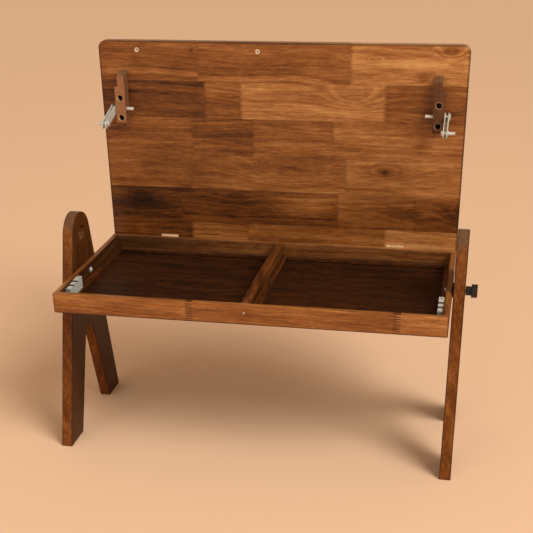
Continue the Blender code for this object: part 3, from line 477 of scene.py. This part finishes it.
def front_rail_wood():
    """Three staves with long finger joints, dark ends, a painted shadow line along the bottom edge, and dark
    stain on the inner face.
    """
    tree = Tree("front_rail_staves")
    x, y, z = tree.place()
    tone, seed, line = glued_staves(tree, x, z, RAIL_ROW, RAIL_FINGER_LENGTH, RAIL_FINGER_PITCH)
    colour, height, fibre = wood(tree, x, z, y, tone, seed)
    colour = tree.mix(tree.scaled(line, RAIL_GLUE_STRENGTH), colour, PORE_COLOUR)
    colour = end_grain(tree, colour, tree.normal()[0], y, z)
    glue = tree.span(tree.math("PINGPONG", z, RAIL_FINGER_PITCH / 2), 0.0009, 0.0003)
    for joint_x in RAIL_JOINTS_X:
        off = tree.absolute(tree.subtract(x, joint_x))
        near = tree.span(off, 0.58 * RAIL_FINGER_LENGTH, 0.42 * RAIL_FINGER_LENGTH, 0.0, RAIL_GLUE_STRENGTH)
        colour = tree.mix(tree.multiply(near, glue), colour, PORE_COLOUR)
    # Dark ends, and a painted shadow line along the bottom edge.
    rim = tree.larger(tree.span(tree.absolute(x), *RAIL_RIM_X), tree.span(z, *RAIL_SHADOW_Z))
    colour = tree.mix(tree.scaled(rim, RAIL_EDGE_AND_SHADOW_STRENGTH), colour, PORE_COLOUR)
    inside = tree.span(y, *FRONT_RAIL_INNER_Y)
    colour = tree.mix(tree.scaled(inside, RAIL_INSIDE_STRENGTH), colour, INSIDE_COLOUR)
    return finish_wood(tree, colour, height, fibre, gloss=0.33)


def plain_wood(name, grain, tone, seed, inside=None, contrast=1.0, gloss=0.36, shine=0.32):
    """One piece of wood. grain is the axis it runs along.

    inside is (axis number, outer place, inner place, strength): the stain is darker towards the inner
    place, as it is on the tray's inner faces.
    """
    tree = Tree(name)
    place = tree.place()
    order = {"X": (0, 2, 1), "Y": (1, 2, 0)}[grain]
    along, across, depth = (place[axis] for axis in order)
    colour, height, fibre = wood(tree, along, across, depth, tone, seed, contrast=contrast)
    colour = end_grain(tree, colour, tree.normal()[order[0]], across, depth)
    if inside is not None:
        axis, outer, inner, strength = inside
        shade = tree.span(tree.absolute(place[axis]), inner, outer, strength, 0.0)
        colour = tree.mix(shade, colour, INSIDE_COLOUR)
    return finish_wood(tree, colour, height, fibre, gloss, shine)


def rear_rail_wood():
    """The rear rail, whose inner face is darker, with painted shadow making it darkest at its left end."""
    tree = Tree("rear_rail_wood")
    x, y, z = tree.place()
    colour, height, fibre = wood(tree, x, z, y, tone=0.57, seed=0.41)
    colour = end_grain(tree, colour, tree.normal()[0], z, y)
    inner = tree.span(y, *REAR_RAIL_INNER_Y)
    # Painted shadow: the inner face grows darker towards the left end.
    stain_and_shade = tree.span(x, *REAR_RAIL_SHADOW_X, *REAR_RAIL_SHADOW_STRENGTHS)
    colour = tree.mix(tree.multiply(inner, stain_and_shade), colour, INSIDE_COLOUR)
    return finish_wood(tree, colour, height, fibre)


def middle_x(node_name):
    """The X of the middle of a node's box."""
    low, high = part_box(node_name)
    return (low[0] + high[0]) / 2


LEG_EDGE = (0.0064, 0.0083)         # from a leg's middle plane to its rounded edges
LEG_RIM_STRENGTH = 0.72
# painted shade on the legs' inner faces: heavier below this span of heights than above it
LEG_SHADE_Z = (0.255, 0.335)
LEG_SHADE_STRENGTHS = (0.70, 0.45)  # below that height, and above it


def leg_wood(side_name, side):
    """The legs' wood: stain has gathered on the rounded edges, and the inner face is darkened as painted
    shade, most of all low down.
    """
    tree = Tree(f"{side_name}_leg_wood")
    x, y, z = tree.place()
    normal = tree.normal()
    colour, height, fibre = wood(tree, z, y, x, tone=0.41, seed=0.52 + 0.17 * side, contrast=0.65)
    colour = end_grain(tree, colour, normal[2], x, y)
    # Painted shade: the inner face is darkened, more low on the leg than high.
    inner = tree.span(tree.scaled(normal[0], -side), 0.60, 0.95)
    stain_and_shade = tree.span(z, *LEG_SHADE_Z, *LEG_SHADE_STRENGTHS)
    colour = tree.mix(tree.multiply(inner, stain_and_shade), colour, INSIDE_COLOUR)
    off = tree.absolute(tree.subtract(x, middle_x(f"{side_name}_leg")))
    slanted = tree.span(tree.absolute(normal[0]), 0.98, 0.86)
    rim = tree.multiply(tree.span(off, *LEG_EDGE), slanted)
    colour = tree.mix(tree.scaled(rim, LEG_RIM_STRENGTH), colour, PORE_COLOUR)
    return finish_wood(tree, colour, height, fibre, gloss=0.46, shine=0.12)


COUNTERBORES_Z = (HINGE_Z + 0.2070, HINGE_Z + 0.2390)
COUNTERBORE_RIM = (0.0054, 0.0051)
# how deep in the counterbores the painted shade begins and is full
COUNTERBORE_SHADE_Y = (0.1250, 0.1285)
SPECK_RATES = (700.0, 700.0, 180.0)
BLOCK_STAIN = {"left": (0.46, 0.215, 0.110), "right": (0.105, 0.048, 0.022)}
BLOCK_STAIN_STRENGTH = 0.45
# painted shade on the blocks' faces that look along X
BLOCK_SIDE_SHADE_COLOUR = (0.075, 0.036, 0.018)
BLOCK_SIDE_SHADE_STRENGTH = 0.60


def block_wood(side_name, tone):
    """Rougher wood with dark specks and painted shade on the side faces. The counterbores show raw wood, made
    paler as painted light, near the mouth and painted shade deeper in.
    """
    tree = Tree(f"{side_name}_block_wood")
    x, y, z = tree.place()
    middle = middle_x(f"{side_name}_strut_block")
    colour, height, fibre = wood(tree, z, x, y, tone, seed=0.4 + middle, contrast=0.6)
    colour = tree.mix(BLOCK_STAIN_STRENGTH, colour, BLOCK_STAIN[side_name])
    specks = tree.stretched((x, y, z), SPECK_RATES, detail=3.0)
    colour = tree.mix(tree.span(specks, 0.55, 0.68, 0.0, 0.65), colour, PORE_COLOUR)
    # Painted shade: the block's side faces are darkened.
    shaded_flank = tree.span(tree.absolute(tree.normal()[0]), 0.60, 0.95)
    colour = tree.mix(tree.scaled(shaded_flank, BLOCK_SIDE_SHADE_STRENGTH), colour, BLOCK_SIDE_SHADE_COLOUR)
    # The counterbores: raw wood, paler as painted light, near the mouth, and painted shade deeper in.
    for bore_z in COUNTERBORES_Z:
        bored = tree.span(from_axis(tree, x, z, middle, bore_z), *COUNTERBORE_RIM)
        wall = tree.mix(tree.span(y, *COUNTERBORE_SHADE_Y), RAW_WOOD_WITH_PAINTED_LIGHT, INSIDE_COLOUR)
        colour = tree.mix(bored, colour, wall)
    colour = end_grain(tree, colour, tree.normal()[2], x, y, amount=0.9)
    return finish_wood(tree, colour, height, fibre, gloss=0.48)


# --- metal and plastic ----------------------------------------------------------------------------
# painted shade on the front-facing walls of the racks' notches
NOTCH_SHADE_COLOUR = (0.030, 0.020, 0.013)
BLACK_STEEL_COLOURS = ((0.35, (0.008, 0.006, 0.005)), (0.65, (0.030, 0.024, 0.020)))
ZINC_COLOURS = ((0.30, (0.48, 0.46, 0.40)), (0.50, (0.68, 0.67, 0.60)), (0.72, (0.84, 0.83, 0.77)))
BRASS_COLOURS = ((0.25, (0.62, 0.38, 0.19)), (0.55, (0.76, 0.50, 0.27)), (0.80, (0.86, 0.62, 0.38)))
BLACK_COLOURS = ((0.35, (0.006, 0.004, 0.003)), (0.60, (0.013, 0.009, 0.007)), (0.80, (0.032, 0.022, 0.016)))
ZINC_RELIEF = 0.00008
BRASS_RELIEF = 0.00004
PLASTIC_RELIEF = 0.00006
NOTCH_EDGE = (0.001, 0.003)         # from a rack's front face to where the painted shade on its notch walls is full
ZINC_SCRATCH_RATES = (300.0, 4000.0, 700.0)
BRASS_BRUSH_RATES = (250.0, 2600.0, 2600.0)


def dark_steel(name):
    """Blackened steel, a little mottled."""
    tree = Tree(name)
    cloud = tree.noise(tree.vector(*tree.place()), scale=700.0, detail=3.0)
    colour = tree.ramp(cloud, BLACK_STEEL_COLOURS)
    tree.set(Base_Color=colour, Metallic=0.6, Roughness=tree.scaled(cloud, 0.3, 0.35))
    return tree.material


def zinc(name, seed, rack=False):
    """Zinc-plated steel: pale, with cloudy crystals and fine scratches. A rack's notches get painted shade.
    """
    tree = Tree(name)
    x, y, z = tree.place()
    cloud = tree.noise(tree.vector(tree.add(x, seed), y, z), scale=260.0, detail=3.0, roughness=0.6)
    scratch = tree.stretched((x, y, z), ZINC_SCRATCH_RATES, detail=2.0)
    colour = tree.ramp(cloud, ZINC_COLOURS)
    # Painted shade: the notch walls that face the front are darkened, more so further back.
    if rack:
        front_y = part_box("left_rack")[0][1]
        riser = tree.span(tree.scaled(tree.normal()[1], -1.0), 0.50, 0.90)
        notch_shade = tree.span(tree.subtract(y, front_y), *NOTCH_EDGE, 0.45, 0.93)
        colour = tree.mix(tree.multiply(riser, notch_shade), colour, NOTCH_SHADE_COLOUR)
    rough = tree.add(tree.scaled(cloud, 0.25, 0.22), tree.swing(scratch, 0.16))
    tree.set(Base_Color=colour, Metallic=0.35, Roughness=rough)
    tree.bump(tree.add(tree.scaled(cloud, 0.6), tree.scaled(scratch, 0.4)), ZINC_RELIEF, strength=0.5)
    return tree.material


def brass(name):
    """Brass brushed along X, with soft stains."""
    tree = Tree(name)
    place = tree.place()
    brushed = tree.stretched(place, BRASS_BRUSH_RATES, detail=3.0)
    stain_and_shade = tree.noise(tree.vector(*place), scale=180.0, detail=2.0)
    colour = tree.ramp(stain_and_shade, BRASS_COLOURS)
    tree.set(Base_Color=colour, Metallic=0.5, Roughness=tree.scaled(brushed, 0.30, 0.20))
    tree.bump(brushed, BRASS_RELIEF, strength=0.5)
    return tree.material


def black_plastic(name):
    """Moulded plastic with a fine spark-eroded surface and rubbed high spots."""
    tree = Tree(name)
    place = tree.vector(*tree.place())
    texture = tree.noise(place, scale=2300.0, detail=2.0, roughness=0.6)
    rubbed = tree.noise(place, scale=210.0, detail=3.0, roughness=0.6)
    colour = tree.ramp(rubbed, BLACK_COLOURS)
    tree.set(Base_Color=colour, Roughness=tree.scaled(rubbed, 0.30, 0.16))
    tree.bump(texture, PLASTIC_RELIEF, strength=0.5)
    return tree.material


# --- the floor ------------------------------------------------------------------------------------
FLOOR_HALF = 30.0
FLOOR_COLOUR = (0.83, 0.535, 0.335)


def make_floor():
    mesh = bpy.data.meshes.new("floor")
    corners = [(side_x * FLOOR_HALF, side_y * FLOOR_HALF, 0.0)
               for side_x, side_y in ((-1, -1), (1, -1), (1, 1), (-1, 1))]
    mesh.from_pydata(corners, [], [(0, 1, 2, 3)])
    floor = bpy.data.objects.new("floor", mesh)
    bpy.context.scene.collection.objects.link(floor)
    tree = Tree("floor_paper")
    tree.set(Base_Color=FLOOR_COLOUR, Roughness=0.85)
    mesh.materials.append(tree.material)


# --- dressing the model ---------------------------------------------------------------------------
def dress(node_name, material):
    """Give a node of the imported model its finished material."""
    mesh = nodes[node_name].data
    mesh.materials.clear()
    mesh.materials.append(material)


RAIL_TONES = {"left": 0.54, "right": 0.46}
BLOCK_TONES = {"left": 0.50, "right": 0.34}
SIDE_RAIL_INSIDE = (0, 0.2935, 0.2903, 0.85)    # axis number, outer place, inner place, strength
ZINC_PIECES = ("rack_screw_1", "rack_screw_2", "insert", "link_bolt", "link_washer", "link", "peg", "stud")
HINGE_PIECES = ("hinge_rail_leaf", "hinge_pin", "hinge_lid_leaf")


def dress_wood():
    dress("lid_board", board_wood())
    dress("front_rail", front_rail_wood())
    dress("rear_rail", rear_rail_wood())
    dress("divider", plain_wood("divider_wood", "Y", tone=0.28, seed=0.73))
    dress("bottom_panel",
          plain_wood("panel_wood", "X", tone=0.10, seed=0.19, contrast=0.45, gloss=0.58, shine=0.10))
    for side_name, side in SIDES:
        dress(f"{side_name}_rail",
              plain_wood(f"{side_name}_rail_wood", "Y", RAIL_TONES[side_name], seed=0.29 + 0.1 * side,
                         inside=SIDE_RAIL_INSIDE))
        for place, grain, seed in (("outer", "Y", 0.36), ("divider", "Y", 0.48), ("rear", "X", 0.61)):
            name = f"{side_name}_cleat_{place}"
            dress(name, plain_wood(f"{name}_wood", grain, tone=0.22, seed=seed + 0.07 * side, contrast=0.7))
        dress(f"{side_name}_leg", leg_wood(side_name, side))
        dress(f"{side_name}_strut_block", block_wood(side_name, BLOCK_TONES[side_name]))


def dress_fittings():
    screw_steel = dark_steel("block_screw_steel")
    for side_name, side in SIDES:
        bright = zinc(f"{side_name}_zinc", 0.5 * side)
        for piece in ZINC_PIECES:
            dress(f"{side_name}_{piece}", bright)
        dress(f"{side_name}_rack", zinc(f"{side_name}_rack_zinc", 0.5 * side, rack=True))
        for number in (1, 2):
            dress(f"{side_name}_block_screw_{number}", screw_steel)
        for piece in ("knob", "spacer"):
            dress(f"{side_name}_{piece}", black_plastic(f"{side_name}_{piece}_plastic"))
    steel = zinc("brad_zinc", 0.0)
    dress("front_brad", steel)
    dress("rear_brad", steel)
    hinge = brass("hinge_brass")
    for side_name, _ in SIDES:
        for piece in HINGE_PIECES:
            dress(f"{side_name}_{piece}", hinge)
    for number in range(1, 5):
        dress(f"hinge_rail_screw_{number}", hinge)
        dress(f"hinge_lid_screw_{number}", hinge)


make_camera()
make_lights()
make_floor()
dress_wood()
dress_fittings()
bpy.context.scene.view_settings.view_transform = "Standard"
